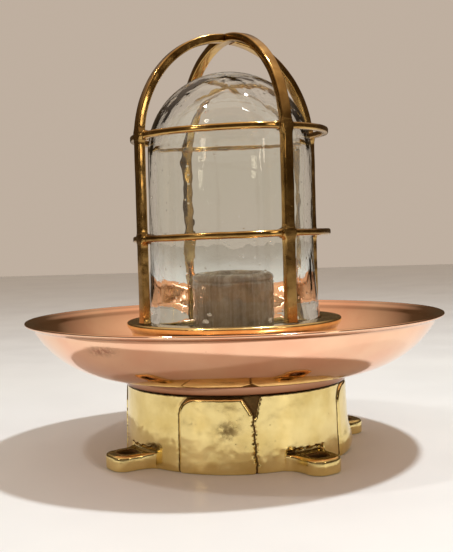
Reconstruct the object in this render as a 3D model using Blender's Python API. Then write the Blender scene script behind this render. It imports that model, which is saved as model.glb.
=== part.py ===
"""Ship lantern: cast brass base, spun copper shade, screwed brass guard, clear glass globe.

Metres, +Z up. The origin is on the lantern's axis in the plane of the base's underside.
The lantern stands on its base; in use the same underside is screwed to a wall or ceiling.
"""

import math

import bmesh
import bpy
from mathutils import Matrix, Vector

MM = 0.001

# Fits
GAP = 0.3            # clearance left between pieces that touch
THREAD_GAP = 0.35    # running clearance of the guard's thread

# Base casting
BASE_R = 53.0
BASE_TOP = 34.4
CAVITY_R = 46.0
DECK_UNDER = 30.0
DECK_HOLE_R = 24.0
NECK_R = 46.8
NECK_BORE_R = 42.0
NECK_TOP = 58.0
PITCH = 2.0
THREAD_TURNS = 3
THREAD_DEPTH = 0.7
BOSS_ANGLES = (-100.0, -10.0, 80.0, 170.0)
BOSS_HALF_ANGLE = 19.0
BOSS_UNDER = 0.5
LUG_ANGLES = (-145.0, -55.0, 25.0, 125.0)
LUG_THICK = 7.2
LUG_HOLE_AT = 61.7
LUG_HOLE_R = 4.0
LUG_TIP = 71.0
LUG_HALF_WIDTH = 8.8

# Copper shade
SHEET = 1.1
SHADE_FLOOR = 35.6
SHADE_BORE_R = 47.4
FOOT_R = 54.5
BOWL_Z = 39.2
BOWL_ARC_R = 47.2
BOWL_ARC_AT = 56.6
WALL_TOP_R = 96.9
RIM_R = 101.6
RIM_Z = 66.4

# Guard
COLLAR_FOOT = 37.9
COLLAR_TOP = 64.4
COLLAR_R = 50.6
COLLAR_TOP_R = 53.1
COLLAR_BORE_R = NECK_R + THREAD_GAP
LIP_R = 43.2
LIP_UNDER = 61.8
BAR_OUT = 50.7
BAR_IN = 46.9
BAR_HALF_WIDTH = 2.7
BAR_CHAMFER = 0.7
BAR_SPRING_Z = 150.0
CROWN_OUT = 203.7
CROWN_IN = 199.5
HOOP_ANGLE = -58.6
RING_OUT = 48.8
RING_IN = 45.1
RING_HALF_HEIGHT = 1.7
RING_UPPER_Z = 154.0
RING_LOWER_Z = 105.0

# Globe
GLASS_R = 40.4
GLASS_WALL = 4.0
GLASS_TOP = 184.9
GLASS_FOOT_R = 42.3
FLANGE_R = 46.4
FLANGE_UNDER = 59.5
FLANGE_TOP = 61.5

# Lamp holder
HOLDER_R = 19.8
HOLDER_FOOT = 37.0
HOLDER_TOP = 85.4
SOCKET_R = 14.2
SOCKET_FLOOR = 50.0
CONTACT_BORE_R = 4.4
CONTACT_BORE_FLOOR = 44.0
STRAP_UNDER = 34.7
STRAP_TOP = 36.7
STRAP_HALF_LENGTH = 38.5
STRAP_HALF_WIDTH = 10.0
HOLDER_SCREW_X = 9.0
STRAP_SCREW_X = 33.0


def clear_scene():
    for item in list(bpy.data.objects):
        bpy.data.objects.remove(item, do_unlink=True)


def material(name, colour, metallic, roughness, transmission=0.0, ior=1.45):
    """One Principled material with plain values."""
    mat = bpy.data.materials.new(name)
    mat.use_nodes = True
    bsdf = mat.node_tree.nodes["Principled BSDF"]
    bsdf.inputs["Base Color"].default_value = (*colour, 1.0)
    bsdf.inputs["Metallic"].default_value = metallic
    bsdf.inputs["Roughness"].default_value = roughness
    bsdf.inputs["Transmission Weight"].default_value = transmission
    bsdf.inputs["IOR"].default_value = ior
    mat.diffuse_color = (*colour, 1.0)
    return mat


def flat(face):
    """True when a face's corners lie in one plane."""
    centre = face.calc_center_median()
    face.normal_update()
    return all(abs((v.co - centre).dot(face.normal)) < 1e-5 for v in face.verts)


def add_object(name, bm, mat=None):
    """Turn a bmesh in millimetres into an object in metres."""
    bmesh.ops.triangulate(bm, faces=[f for f in bm.faces if len(f.verts) > 4 or not flat(f)])
    bmesh.ops.scale(bm, vec=(MM, MM, MM), verts=bm.verts)
    bmesh.ops.recalc_face_normals(bm, faces=bm.faces)
    mesh = bpy.data.meshes.new(name)
    bm.to_mesh(mesh)
    bm.free()
    obj = bpy.data.objects.new(name, mesh)
    bpy.context.scene.collection.objects.link(obj)
    if mat is not None:
        mesh.materials.append(mat)
    return obj


def revolve(profile, segments):
    """Closed (r, z) outline turned about the axis; points with r = 0 become poles."""
    bm = bmesh.new()
    rings = []
    for r, z in profile:
        if r < 1e-6:
            rings.append([bm.verts.new((0.0, 0.0, z))] * segments)
            continue
        ring = []
        for k in range(segments):
            a = 2 * math.pi * k / segments
            ring.append(bm.verts.new((r * math.cos(a), r * math.sin(a), z)))
        rings.append(ring)
    count = len(rings)
    for i in range(count):
        low = rings[i]
        high = rings[(i + 1) % count]
        if low[0] is low[1] and high[0] is high[1]:
            continue
        for k in range(segments):
            n = (k + 1) % segments
            corners = []
            for v in (low[k], low[n], high[n], high[k]):
                if v not in corners:
                    corners.append(v)
            bm.faces.new(corners)
    return bm


def box(x0, x1, y0, y1, z0, z1):
    bm = bmesh.new()
    bmesh.ops.create_cube(bm, size=1.0)
    bmesh.ops.scale(bm, vec=(x1 - x0, y1 - y0, z1 - z0), verts=bm.verts)
    centre = ((x0 + x1) / 2, (y0 + y1) / 2, (z0 + z1) / 2)
    bmesh.ops.translate(bm, vec=centre, verts=bm.verts)
    return bm


def place(bm, origin, direction):
    """Swing a bmesh built along +Z onto a direction and move it to an origin."""
    turn = Vector((0, 0, 1)).rotation_difference(Vector(direction)).to_matrix().to_4x4()
    bmesh.ops.transform(bm, matrix=Matrix.Translation(origin) @ turn, verts=bm.verts)
    return bm


def rod(radius, start, end, segments=14):
    """Plain round rod between two points."""
    length = (Vector(end) - Vector(start)).length
    bm = turn_about_axis(revolve([(0, 0), (radius, 0), (radius, length), (0, length)], segments), 4.0)
    return place(bm, start, Vector(end) - Vector(start))


def combine(target, cutter, operation):
    """Apply one exact boolean and drop the second object."""
    cutter.hide_render = True
    cutter.display_type = "WIRE"
    mod = target.modifiers.new("combine", "BOOLEAN")
    mod.operation = operation
    mod.solver = "EXACT"
    mod.object = cutter
    graph = bpy.context.evaluated_depsgraph_get()
    mesh = bpy.data.meshes.new_from_object(target.evaluated_get(graph))
    target.modifiers.clear()
    old = target.data
    name = old.name
    target.data = mesh
    bpy.data.meshes.remove(old)
    mesh.name = name
    bpy.data.objects.remove(cutter, do_unlink=True)


def cut(target, bm):
    combine(target, add_object("cutter", bm), "DIFFERENCE")


def join(target, bm):
    combine(target, add_object("adder", bm), "UNION")


def arc(centre, radius, start, end, steps):
    """Points on a circular arc, degrees from +X."""
    points = []
    for i in range(steps + 1):
        a = math.radians(start + (end - start) * i / steps)
        points.append((centre[0] + radius * math.cos(a), centre[1] + radius * math.sin(a)))
    return points


def extrude_outline(outline, z0, z1):
    bm = bmesh.new()
    low = [bm.verts.new((x, y, z0)) for x, y in outline]
    high = [bm.verts.new((x, y, z1)) for x, y in outline]
    bm.faces.new(low[::-1])
    bm.faces.new(high)
    count = len(outline)
    for i in range(count):
        n = (i + 1) % count
        bm.faces.new((low[i], low[n], high[n], high[i]))
    return bm


def turn_about_axis(bm, degrees):
    turn = Matrix.Rotation(math.radians(degrees), 4, "Z")
    bmesh.ops.transform(bm, matrix=turn, verts=bm.verts)
    return bm


def thread_points(radius, depth, z0, turns):
    """Parallel grooves at thread pitch, listed upward, cut to a depth (negative = outward)."""
    points = []
    for i in range(turns):
        z = z0 + i * PITCH
        points.append((radius, z))
        points.append((radius - depth, z + 0.45 * PITCH))
        points.append((radius - depth, z + 0.55 * PITCH))
    points.append((radius, z0 + turns * PITCH))
    return points


def boss(angle):
    """Rounded panel standing proud of the casting's wall, with an arched top."""
    bm = bmesh.new()
    steps = 6
    levels = ((0.0, 55.4), (0.16, 56.2), (0.6, 54.6), (1.0, 53.4))
    outer = []
    inner = []
    for j in range(steps + 1):
        u = -1.0 + 2.0 * j / steps
        a = math.radians(u * BOSS_HALF_ANGLE)
        top = 34.0 - 7.0 * max(0.0, abs(u) - 0.45) ** 2 / 0.3
        edge = 1.6 * max(0.0, abs(u) - 0.7) / 0.3
        out_col = []
        in_col = []
        for share, radius in levels:
            r = radius - edge
            z = max(share * top, BOSS_UNDER)
            out_col.append(bm.verts.new((r * math.cos(a), r * math.sin(a), z)))
            in_col.append(bm.verts.new((49.0 * math.cos(a), 49.0 * math.sin(a), z)))
        outer.append(out_col)
        inner.append(in_col)
    last = len(levels) - 1
    for j in range(steps):
        for k in range(last):
            bm.faces.new((outer[j][k], outer[j + 1][k], outer[j + 1][k + 1], outer[j][k + 1]))
            bm.faces.new((inner[j][k], inner[j][k + 1], inner[j + 1][k + 1], inner[j + 1][k]))
        bm.faces.new((outer[j][0], inner[j][0], inner[j + 1][0], outer[j + 1][0]))
        bm.faces.new((outer[j][last], outer[j + 1][last], inner[j + 1][last], inner[j][last]))
    for j, flip in ((0, False), (steps, True)):
        for k in range(last):
            face = [inner[j][k], outer[j][k], outer[j][k + 1], inner[j][k + 1]]
            bm.faces.new(face[::-1] if flip else face)
    return turn_about_axis(bm, angle)


def lug(angle):
    """Flat fixing lug with a squarish rounded end and a flared root."""
    corner = 5.5
    end = LUG_TIP - corner
    side = LUG_HALF_WIDTH - corner
    outline = [(49.0, -13.0), (54.5, -12.0), (56.6, -9.8), (59.0, -LUG_HALF_WIDTH)]
    outline += arc((end, -side), corner, -90, 0, 3)
    outline += arc((end, side), corner, 0, 90, 3)
    outline += [(59.0, LUG_HALF_WIDTH), (56.6, 9.8), (54.5, 12.0), (49.0, 13.0)]
    return turn_about_axis(extrude_outline(outline, 0.0, LUG_THICK), angle)


def make_base(mat):
    profile = [
        (CAVITY_R, 0.0),
        (BASE_R, 0.0),
        (BASE_R, BASE_TOP - 1.0),
        (BASE_R - 1.0, BASE_TOP),
        (NECK_R, BASE_TOP),
        (NECK_R, 44.0),
    ]
    profile += thread_points(NECK_R, THREAD_DEPTH, 48.0, THREAD_TURNS)
    profile += [
        (NECK_R, NECK_TOP - 0.6),
        (NECK_R - 0.6, NECK_TOP),
        (NECK_BORE_R, NECK_TOP),
        (NECK_BORE_R, BASE_TOP),
        (DECK_HOLE_R, BASE_TOP),
        (DECK_HOLE_R, DECK_UNDER),
        (CAVITY_R, DECK_UNDER),
    ]
    base = add_object("base_casting", revolve(profile, 44), mat)
    for angle in BOSS_ANGLES:
        join(base, boss(angle))
    for angle in LUG_ANGLES:
        join(base, lug(angle))
    for angle in LUG_ANGLES:
        a = math.radians(angle)
        x = LUG_HOLE_AT * math.cos(a)
        y = LUG_HOLE_AT * math.sin(a)
        cut(base, rod(LUG_HOLE_R, (x, y, -1.0), (x, y, LUG_THICK + 1.0), 16))
    for x in (-STRAP_SCREW_X, STRAP_SCREW_X):
        cut(base, rod(1.6 + GAP, (x, 0, DECK_UNDER - 1), (x, 0, BASE_TOP + 1)))
    cut(base, rod(1.6 + GAP, (0, 36.0, DECK_UNDER - 1), (0, 36.0, 33.6)))
    cut(base, rod(1.6 + GAP, (-32.0, 12.0, DECK_UNDER - 1), (-32.0, 12.0, 33.6)))
    return base


def make_washer(name, z0, mat):
    profile = [(SHADE_BORE_R, z0), (52.7, z0), (52.7, z0 + 0.7), (SHADE_BORE_R, z0 + 0.7)]
    return add_object(name, revolve(profile, 32), mat)


def shade_lower_side():
    """Under side of the shade from its bore out to its rim."""
    points = [(SHADE_BORE_R, SHADE_FLOOR), (FOOT_R - 0.4, SHADE_FLOOR), (FOOT_R, SHADE_FLOOR + 0.4)]
    points += [(FOOT_R, BOWL_Z - 0.3)]
    centre_z = BOWL_Z + BOWL_ARC_R
    end = math.asin((WALL_TOP_R - BOWL_ARC_AT) / BOWL_ARC_R)
    for i in range(8):
        a = end * i / 7
        points.append((BOWL_ARC_AT + BOWL_ARC_R * math.sin(a), centre_z - BOWL_ARC_R * math.cos(a)))
    points += [(97.7, 63.4), (99.2, 65.0), (101.0, 65.5)]
    return points


def offset_side(points, distance):
    """Same line moved up and inward by the sheet thickness."""
    moved = []
    for i, (r, z) in enumerate(points):
        before = points[max(i - 1, 0)]
        after = points[min(i + 1, len(points) - 1)]
        tr = after[0] - before[0]
        tz = after[1] - before[1]
        length = math.hypot(tr, tz)
        moved.append((r - tz / length * distance, z + tr / length * distance))
    return moved


def make_shade(mat):
    lower = shade_lower_side()
    upper = offset_side(lower, SHEET)
    upper[1] = (FOOT_R - 1.3, SHADE_FLOOR + SHEET)
    upper[2] = (FOOT_R - SHEET, SHADE_FLOOR + SHEET + 0.3)
    upper[3] = (FOOT_R - SHEET, BOWL_Z + 0.7)
    upper[4] = (BOWL_ARC_AT, BOWL_Z + SHEET)
    rim = [(RIM_R, 65.8), (RIM_R, 66.2), (101.2, RIM_Z)]
    return add_object("copper_shade", revolve(lower + rim + upper[::-1], 48), mat)


def make_collar(mat):
    bore = COLLAR_BORE_R
    profile = [
        (bore, COLLAR_FOOT),
        (COLLAR_R, COLLAR_FOOT),
        (COLLAR_R, 59.0),
        (51.6, 61.2),
        (COLLAR_TOP_R, 62.6),
        (COLLAR_TOP_R, 63.8),
        (COLLAR_TOP_R - 0.6, COLLAR_TOP),
        (LIP_R, COLLAR_TOP),
        (LIP_R, LIP_UNDER),
        (bore, LIP_UNDER),
    ]
    profile += thread_points(bore, -THREAD_DEPTH, 48.0, THREAD_TURNS)[::-1]
    return add_object("cage_collar", revolve(profile, 40), mat)


def hoop_line(low_end, top_end_r, steps=8):
    """Pairs (outer point, inner point) from the foot of a bar up to the crown."""
    pairs = [((BAR_OUT, low_end), (BAR_IN, low_end)), ((BAR_OUT, 128.0), (BAR_IN, 128.0))]
    rise_out = CROWN_OUT - BAR_SPRING_Z
    rise_in = CROWN_IN - BAR_SPRING_Z
    last_out = math.acos(top_end_r / BAR_OUT)
    last_in = math.acos(top_end_r / BAR_IN)
    for i in range(steps + 1):
        uo = last_out * i / steps
        ui = last_in * i / steps
        out = (BAR_OUT * math.cos(uo), BAR_SPRING_Z + rise_out * math.sin(uo))
        inn = (BAR_IN * math.cos(ui), BAR_SPRING_Z + rise_in * math.sin(ui))
        pairs.append((out, inn))
    return pairs


def sweep_bar(pairs):
    """Eight-sided section carried along a hoop line that lies in the XZ plane."""
    bm = bmesh.new()
    sections = []
    w = BAR_HALF_WIDTH
    c = BAR_CHAMFER
    for out, inn in pairs:
        o = Vector((out[0], 0.0, out[1]))
        i = Vector((inn[0], 0.0, inn[1]))
        depth = (o - i).length
        across = (o - i) / depth
        side = Vector((0.0, 1.0, 0.0))
        corners = (
            (depth, w - c), (depth - c, w), (c, w), (0.0, w - c),
            (0.0, c - w), (c, -w), (depth - c, -w), (depth, c - w),
        )
        sections.append([bm.verts.new(i + across * d + side * s) for d, s in corners])
    for first, second in zip(sections[:-1], sections[1:]):
        for k in range(8):
            n = (k + 1) % 8
            bm.faces.new((first[k], first[n], second[n], second[k]))
    bm.faces.new(sections[0][::-1])
    bm.faces.new(sections[-1])
    return bm


def ring_profile(z, grow):
    half = RING_HALF_HEIGHT + grow
    inner = RING_IN
    outer = RING_OUT + grow
    if grow > 0:
        inner -= 3.0
        return [(inner, z - half), (outer, z - half), (outer, z + half), (inner, z + half)]
    c = 0.7
    return [
        (inner, z - half + c), (inner + c, z - half), (outer - c, z - half), (outer, z - half + c),
        (outer, z + half - c), (outer - c, z + half), (inner + c, z + half), (inner, z + half - c),
    ]


def house_rings(bar):
    """Notches on the inside of a bar in which the two rings lie."""
    for z in (RING_LOWER_Z, RING_UPPER_Z):
        cut(bar, revolve(ring_profile(z, GAP), 40))


def make_hoop(mat):
    side = hoop_line(COLLAR_TOP + GAP, 1e-4)
    other = [((-o[0], o[1]), (-i[0], i[1])) for o, i in side[:-1]][::-1]
    bar = add_object("cage_hoop", turn_about_axis(sweep_bar(side + other), HOOP_ANGLE), mat)
    house_rings(bar)
    return bar


def make_half_hoop(name, angle, mat):
    line = hoop_line(COLLAR_TOP + GAP, BAR_HALF_WIDTH + GAP)
    bar = add_object(name, turn_about_axis(sweep_bar(line), angle), mat)
    house_rings(bar)
    return bar


def make_ring(name, z, mat):
    return add_object(name, revolve(ring_profile(z, 0.0), 40), mat)


def make_glass(mat):
    outer = [
        (FLANGE_R, FLANGE_UNDER), (FLANGE_R, FLANGE_TOP), (GLASS_FOOT_R, FLANGE_TOP),
        (GLASS_FOOT_R, 69.0), (41.2, 80.0), (GLASS_R, 90.0), (GLASS_R, 146.0),
    ]
    dome = GLASS_TOP - 146.0
    for deg in (15, 30, 45, 60, 75, 90):
        a = math.radians(deg)
        outer.append((GLASS_R * math.cos(a) if deg < 90 else 0.0, 146.0 + dome * math.sin(a)))
    inner_r = GLASS_R - GLASS_WALL
    inner_dome = GLASS_TOP - 7.0 - 144.0
    inner = []
    for deg in (90, 70, 50, 30, 15, 0):
        a = math.radians(deg)
        inner.append((inner_r * math.cos(a) if deg < 90 else 0.0, 144.0 + inner_dome * math.sin(a)))
    inner += [(inner_r, 90.0), (37.6, 76.0), (38.4, FLANGE_UNDER)]
    return add_object("glass_globe", revolve(outer + inner, 32), mat)


def make_gasket(mat):
    z0 = NECK_TOP + GAP
    z1 = FLANGE_UNDER - GAP
    profile = [(42.2, z0), (46.3, z0), (46.3, z1), (42.2, z1)]
    return add_object("globe_gasket", revolve(profile, 32), mat)


def make_holder(mat):
    profile = [
        (0, HOLDER_FOOT), (HOLDER_R - 1, HOLDER_FOOT), (HOLDER_R, HOLDER_FOOT + 1),
        (HOLDER_R, HOLDER_TOP - 1), (HOLDER_R - 1, HOLDER_TOP), (SOCKET_R + 1.4, HOLDER_TOP),
        (SOCKET_R, HOLDER_TOP - 1.4), (SOCKET_R, SOCKET_FLOOR), (CONTACT_BORE_R, SOCKET_FLOOR),
        (CONTACT_BORE_R, CONTACT_BORE_FLOOR), (1.9, CONTACT_BORE_FLOOR), (1.9, 40.0), (0, 40.0),
    ]
    body = add_object("lampholder_body", revolve(profile, 28), mat)
    for side in (-1, 1):
        y0 = 12.8 if side > 0 else -24.0
        cut(body, box(-5.5, 5.5, y0, y0 + 11.2, HOLDER_FOOT - 1, 47.0))
        cut(body, rod(1.8, (0, side * 6.5, 42.0), (0, side * 14.0, 42.0)))
        cut(body, rod(1.5 + GAP, (side * HOLDER_SCREW_X, 0, 36.0), (side * HOLDER_SCREW_X, 0, 45.3)))
    return body


def make_shell(mat):
    """Thin rolled-thread socket sleeve with a flange resting on the socket floor."""
    wall = 0.35
    outer = [(13.9, SOCKET_FLOOR + GAP), (13.9, 53.0)]
    for i in range(6):
        z = 55.0 + 4.4 * i
        outer.append((13.05, z))
        outer.append((13.85, z + 2.2))
    outer.append((13.5, 82.6))
    inner = [(r - wall - 0.05, z) for r, z in outer[1:]]
    inner = inner[::-1] + [(13.5, SOCKET_FLOOR + GAP + 0.5), (9.0, SOCKET_FLOOR + GAP + 0.5)]
    inner += [(9.0, SOCKET_FLOOR + GAP)]
    return add_object("lampholder_shell", revolve(outer + inner, 20), mat)


def make_contact(mat):
    profile = [
        (0, 42.6), (1.5, 42.6), (1.5, 52.4), (4.0, 52.4), (4.0, 53.6), (2.6, 54.4), (0, 54.6),
    ]
    return add_object("centre_contact", revolve(profile, 14), mat)


def make_spring(mat):
    """Coil spring round the contact's stem."""
    bm = bmesh.new()
    turns = 4.5
    steps = 40
    sides = 5
    z0 = CONTACT_BORE_FLOOR + GAP + 0.45
    z1 = 52.4 - GAP - 0.45
    rings = []
    for i in range(steps + 1):
        t = i / steps
        a = 2 * math.pi * turns * t
        centre = Vector((3.2 * math.cos(a), 3.2 * math.sin(a), z0 + (z1 - z0) * t))
        radial = Vector((math.cos(a), math.sin(a), 0.0))
        ring = []
        for k in range(sides):
            b = 2 * math.pi * k / sides
            offset = radial * 0.45 * math.cos(b) + Vector((0, 0, 0.45 * math.sin(b)))
            ring.append(bm.verts.new(centre + offset))
        rings.append(ring)
    for first, second in zip(rings[:-1], rings[1:]):
        for k in range(sides):
            n = (k + 1) % sides
            bm.faces.new((first[k], first[n], second[n], second[k]))
    bm.faces.new(rings[0][::-1])
    bm.faces.new(rings[-1])
    return add_object("contact_spring", bm, mat)


def make_strap(mat):
    long = STRAP_HALF_LENGTH
    wide = STRAP_HALF_WIDTH
    bar = box(-long, long, -wide, wide, STRAP_UNDER, STRAP_TOP)
    strap = add_object("holder_bracket", bar, mat)
    for x in (-STRAP_SCREW_X, STRAP_SCREW_X):
        cut(strap, rod(1.6 + GAP, (x, 0, STRAP_UNDER - 1), (x, 0, STRAP_TOP + 1)))
    for x in (-HOLDER_SCREW_X, HOLDER_SCREW_X):
        cut(strap, rod(1.5 + GAP, (x, 0, STRAP_UNDER - 1), (x, 0, STRAP_TOP + 1)))
    return strap


def make_screw(name, seat, direction, shaft_r, length, mat, head_r=3.0, head_h=1.8):
    """Slotted pan-head screw; seat is the middle of the head's under side."""
    profile = [
        (0, length), (shaft_r - 0.3, length), (shaft_r, length - 0.4), (shaft_r, 0.0),
        (head_r, 0.0), (head_r, -head_h * 0.55), (head_r * 0.72, -head_h), (0, -head_h),
    ]
    screw = add_object(name, place(turn_about_axis(revolve(profile, 14), 4.0), seat, direction), mat)
    slot = box(-head_r - 1, head_r + 1, -0.4, 0.4, -head_h - 1, -head_h * 0.5)
    cut(screw, place(slot, seat, direction))
    return screw


def make_terminal_block(mat):
    block = add_object("terminal_block", box(-11.0, 11.0, 30.6, 41.4, 20.0, DECK_UNDER - GAP), mat)
    cut(block, rod(1.6 + GAP, (0, 36.0, 19.0), (0, 36.0, 31.0)))
    for x in (-7.2, 0.0, 7.2):
        cut(block, rod(1.4, (x, 29.0, 24.6), (x, 33.4, 24.6), 16))
    return block


def make_lead(name, points, mat, radius=1.0):
    """Insulated lead: a round section carried along rounded straight runs."""
    path = [Vector(points[0])]
    for before, corner, after in zip(points[:-2], points[1:-1], points[2:]):
        c = Vector(corner)
        back = (Vector(before) - c).normalized() * 3.0
        ahead = (Vector(after) - c).normalized() * 3.0
        for i in range(4):
            t = i / 3
            path.append(c + back * (1 - t) ** 2 + ahead * t ** 2)
    path.append(Vector(points[-1]))
    bm = bmesh.new()
    sides = 6
    rings = []
    normal = None
    for i, point in enumerate(path):
        before = path[max(i - 1, 0)]
        after = path[min(i + 1, len(path) - 1)]
        tangent = (after - before).normalized()
        if normal is None:
            normal = tangent.orthogonal().normalized()
        normal = (normal - tangent * normal.dot(tangent)).normalized()
        other = tangent.cross(normal)
        ring = []
        for k in range(sides):
            a = 2 * math.pi * k / sides
            offset = (normal * math.cos(a) + other * math.sin(a)) * radius
            ring.append(bm.verts.new(point + offset))
        rings.append(ring)
    for first, second in zip(rings[:-1], rings[1:]):
        for k in range(sides):
            n = (k + 1) % sides
            bm.faces.new((first[k], first[n], second[n], second[k]))
    bm.faces.new(rings[0][::-1])
    bm.faces.new(rings[-1])
    return add_object(name, bm, mat)


def build():
    clear_scene()
    base_brass = material("base_brass", (0.80, 0.66, 0.36), 1.0, 0.32)
    collar_brass = material("collar_brass", (0.86, 0.62, 0.25), 1.0, 0.18)
    cage_brass = material("cage_brass", (0.70, 0.47, 0.17), 1.0, 0.25)
    ring_brass = material("ring_brass", (0.74, 0.50, 0.19), 1.0, 0.25)
    copper = material("copper", (0.86, 0.50, 0.38), 1.0, 0.2)
    glass = material("globe_glass", (0.88, 0.95, 0.90), 0.0, 0.03, 1.0, 1.5)
    porcelain = material("porcelain", (0.82, 0.76, 0.68), 0.0, 0.3)
    rubber = material("rubber", (0.05, 0.05, 0.05), 0.0, 0.8)
    contact_brass = material("contact_brass", (0.83, 0.62, 0.28), 1.0, 0.25)
    spring_steel = material("spring_steel", (0.60, 0.60, 0.60), 1.0, 0.3)
    zinc_steel = material("zinc_steel", (0.66, 0.66, 0.64), 1.0, 0.35)
    block_plastic = material("block_plastic", (0.85, 0.84, 0.78), 0.0, 0.5)
    brown_pvc = material("brown_pvc", (0.24, 0.10, 0.04), 0.0, 0.5)
    blue_pvc = material("blue_pvc", (0.05, 0.14, 0.42), 0.0, 0.5)
    green_pvc = material("green_pvc", (0.10, 0.38, 0.10), 0.0, 0.5)

    make_base(base_brass)
    make_washer("shade_washer_lower", BASE_TOP + 0.25, rubber)
    make_shade(copper)
    make_washer("shade_washer_upper", SHADE_FLOOR + SHEET + 0.25, rubber)
    make_collar(collar_brass)
    make_hoop(cage_brass)
    make_half_hoop("cage_half_hoop_left", HOOP_ANGLE - 90.0, cage_brass)
    make_half_hoop("cage_half_hoop_right", HOOP_ANGLE + 90.0, cage_brass)
    make_ring("cage_ring_upper", RING_UPPER_Z, ring_brass)
    make_ring("cage_ring_lower", RING_LOWER_Z, ring_brass)
    make_glass(glass)
    make_gasket(rubber)
    make_holder(porcelain)
    make_shell(contact_brass)
    make_contact(contact_brass)
    make_spring(spring_steel)
    make_strap(zinc_steel)
    for number, x in ((1, -HOLDER_SCREW_X), (2, HOLDER_SCREW_X)):
        seat = (x, 0, STRAP_UNDER - GAP)
        make_screw(f"holder_screw_{number}", seat, (0, 0, 1), 1.5, 10.0, zinc_steel)
    for number, x in ((1, -STRAP_SCREW_X), (2, STRAP_SCREW_X)):
        seat = (x, 0, STRAP_TOP + GAP)
        make_screw(f"bracket_screw_{number}", seat, (0, 0, -1), 1.6, 8.0, zinc_steel)
    for name, side in (("live", 1), ("neutral", -1)):
        seat = (0, side * 15.4, 42.0)
        make_screw(f"terminal_screw_{name}", seat, (0, -side, 0), 1.5, 8.0, contact_brass, 2.8, 1.6)
    make_terminal_block(block_plastic)
    make_screw("block_screw", (0, 36.0, 20.0 - GAP), (0, 0, 1), 1.6, 13.6, zinc_steel)
    make_screw("earth_screw", (-32.0, 12.0, 27.5), (0, 0, 1), 1.6, 5.8, contact_brass)
    live = [(0.0, 33.1, 24.6), (0.0, 20.0, 24.6), (-2.9, 14.1, 32.0), (-2.9, 14.1, 45.0)]
    neutral = [(7.2, 33.1, 24.6), (7.2, -12.0, 24.6), (2.9, -14.1, 31.0), (2.9, -14.1, 45.0)]
    earth = [(-7.2, 33.1, 24.6), (-7.2, 26.0, 24.6), (-29.0, 18.5, 28.7), (-29.0, 9.0, 28.7)]
    make_lead("lead_live", live, brown_pvc)
    make_lead("lead_neutral", neutral, blue_pvc)
    make_lead("lead_earth", earth, green_pvc, 0.95)


build()
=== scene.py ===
"""Ship lantern: the looks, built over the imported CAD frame. Shapes below are in millimetres."""

import math

import bmesh
import bpy
import numpy as np
from mathutils import Matrix, Vector, noise


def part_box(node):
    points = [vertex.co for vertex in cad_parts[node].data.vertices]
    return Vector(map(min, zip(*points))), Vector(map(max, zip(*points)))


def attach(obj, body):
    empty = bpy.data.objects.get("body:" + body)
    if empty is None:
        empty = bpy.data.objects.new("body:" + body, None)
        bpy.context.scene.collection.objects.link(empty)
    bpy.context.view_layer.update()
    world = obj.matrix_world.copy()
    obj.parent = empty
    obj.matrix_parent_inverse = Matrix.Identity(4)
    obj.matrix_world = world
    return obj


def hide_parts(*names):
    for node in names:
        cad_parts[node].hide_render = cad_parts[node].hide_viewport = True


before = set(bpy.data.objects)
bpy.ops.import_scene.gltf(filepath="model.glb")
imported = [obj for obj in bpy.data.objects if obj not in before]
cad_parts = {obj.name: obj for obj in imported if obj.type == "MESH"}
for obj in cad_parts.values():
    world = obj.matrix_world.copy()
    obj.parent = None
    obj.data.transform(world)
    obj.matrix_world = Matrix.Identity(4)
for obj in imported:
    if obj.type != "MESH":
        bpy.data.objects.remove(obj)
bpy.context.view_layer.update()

MM = 0.001


def low(node, axis):
    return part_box(node)[0][axis] / MM


def high(node, axis):
    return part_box(node)[1][axis] / MM


# Sizes read from the frame
NECK_TOP = high("base_casting", 2)
RIM_R = high("copper_shade", 0)
RIM_Z = high("copper_shade", 2)
SHADE_FLOOR = low("copper_shade", 2)
COLLAR_FOOT = low("cage_collar", 2)
COLLAR_TOP = high("cage_collar", 2)
COLLAR_TOP_R = high("cage_collar", 0)
BAR_FOOT = low("cage_hoop", 2)
CROWN_OUT = high("cage_hoop", 2)
RING_Z = {
    "cage_ring_lower": (low("cage_ring_lower", 2) + high("cage_ring_lower", 2)) / 2,
    "cage_ring_upper": (low("cage_ring_upper", 2) + high("cage_ring_upper", 2)) / 2,
}
GLASS_TOP = high("glass_globe", 2)
GLASS_FOOT = low("glass_globe", 2)
HOLDER_R = high("lampholder_body", 0)
HOLDER_FOOT = low("lampholder_body", 2)
HOLDER_TOP = high("lampholder_body", 2)

# Sizes that no box in the frame gives
BASE_TOP = 34.4
CAVITY_R = 46.0
NECK_R = 46.8
NECK_BORE_R = 42.0
THREAD_FIRST = 46.0
THREAD_LAST = 55.9
PITCH = 2.0
LUG_ANGLES = (-145.0, -55.0, 25.0, 125.0)
BOSS_ANGLES = (-100.0, -10.0, 80.0, 170.0)
WALL_R = 54.0                     # radius at which distances along the wall are taken
LUG_THICK = 7.2
LUG_HOLE_AT = 61.7
LUG_HOLE_R = 4.0
DECK_SCREWS = ((-33.0, 0.0, 36.0), (33.0, 0.0, 36.0), (0.0, 36.0, 33.6), (-32.0, 12.0, 33.6))
SHADE_BORE_R = 47.4
SHADE_FOOT_R = 54.5
CROWN_IN = CROWN_OUT - 4.2
BAR_OUT = 50.7
BAR_IN = 46.9
BAR_SPRING_Z = 150.0
HOOP_ANGLE = -58.6
HALF_HOOP_END = 3.0               # how far a half hoop stops from the axis
RING_TILT = {"cage_ring_lower": (0.7, 0.2), "cage_ring_upper": (0.9, 1.5)}
SOCKET_R = 14.2
SOCKET_FLOOR = 50.0


# ---------------------------------------------------------------- mesh helpers

def smooth_step(x, a, b):
    t = np.clip((x - a) / (b - a), 0.0, 1.0)
    return t * t * (3 - 2 * t)


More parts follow.
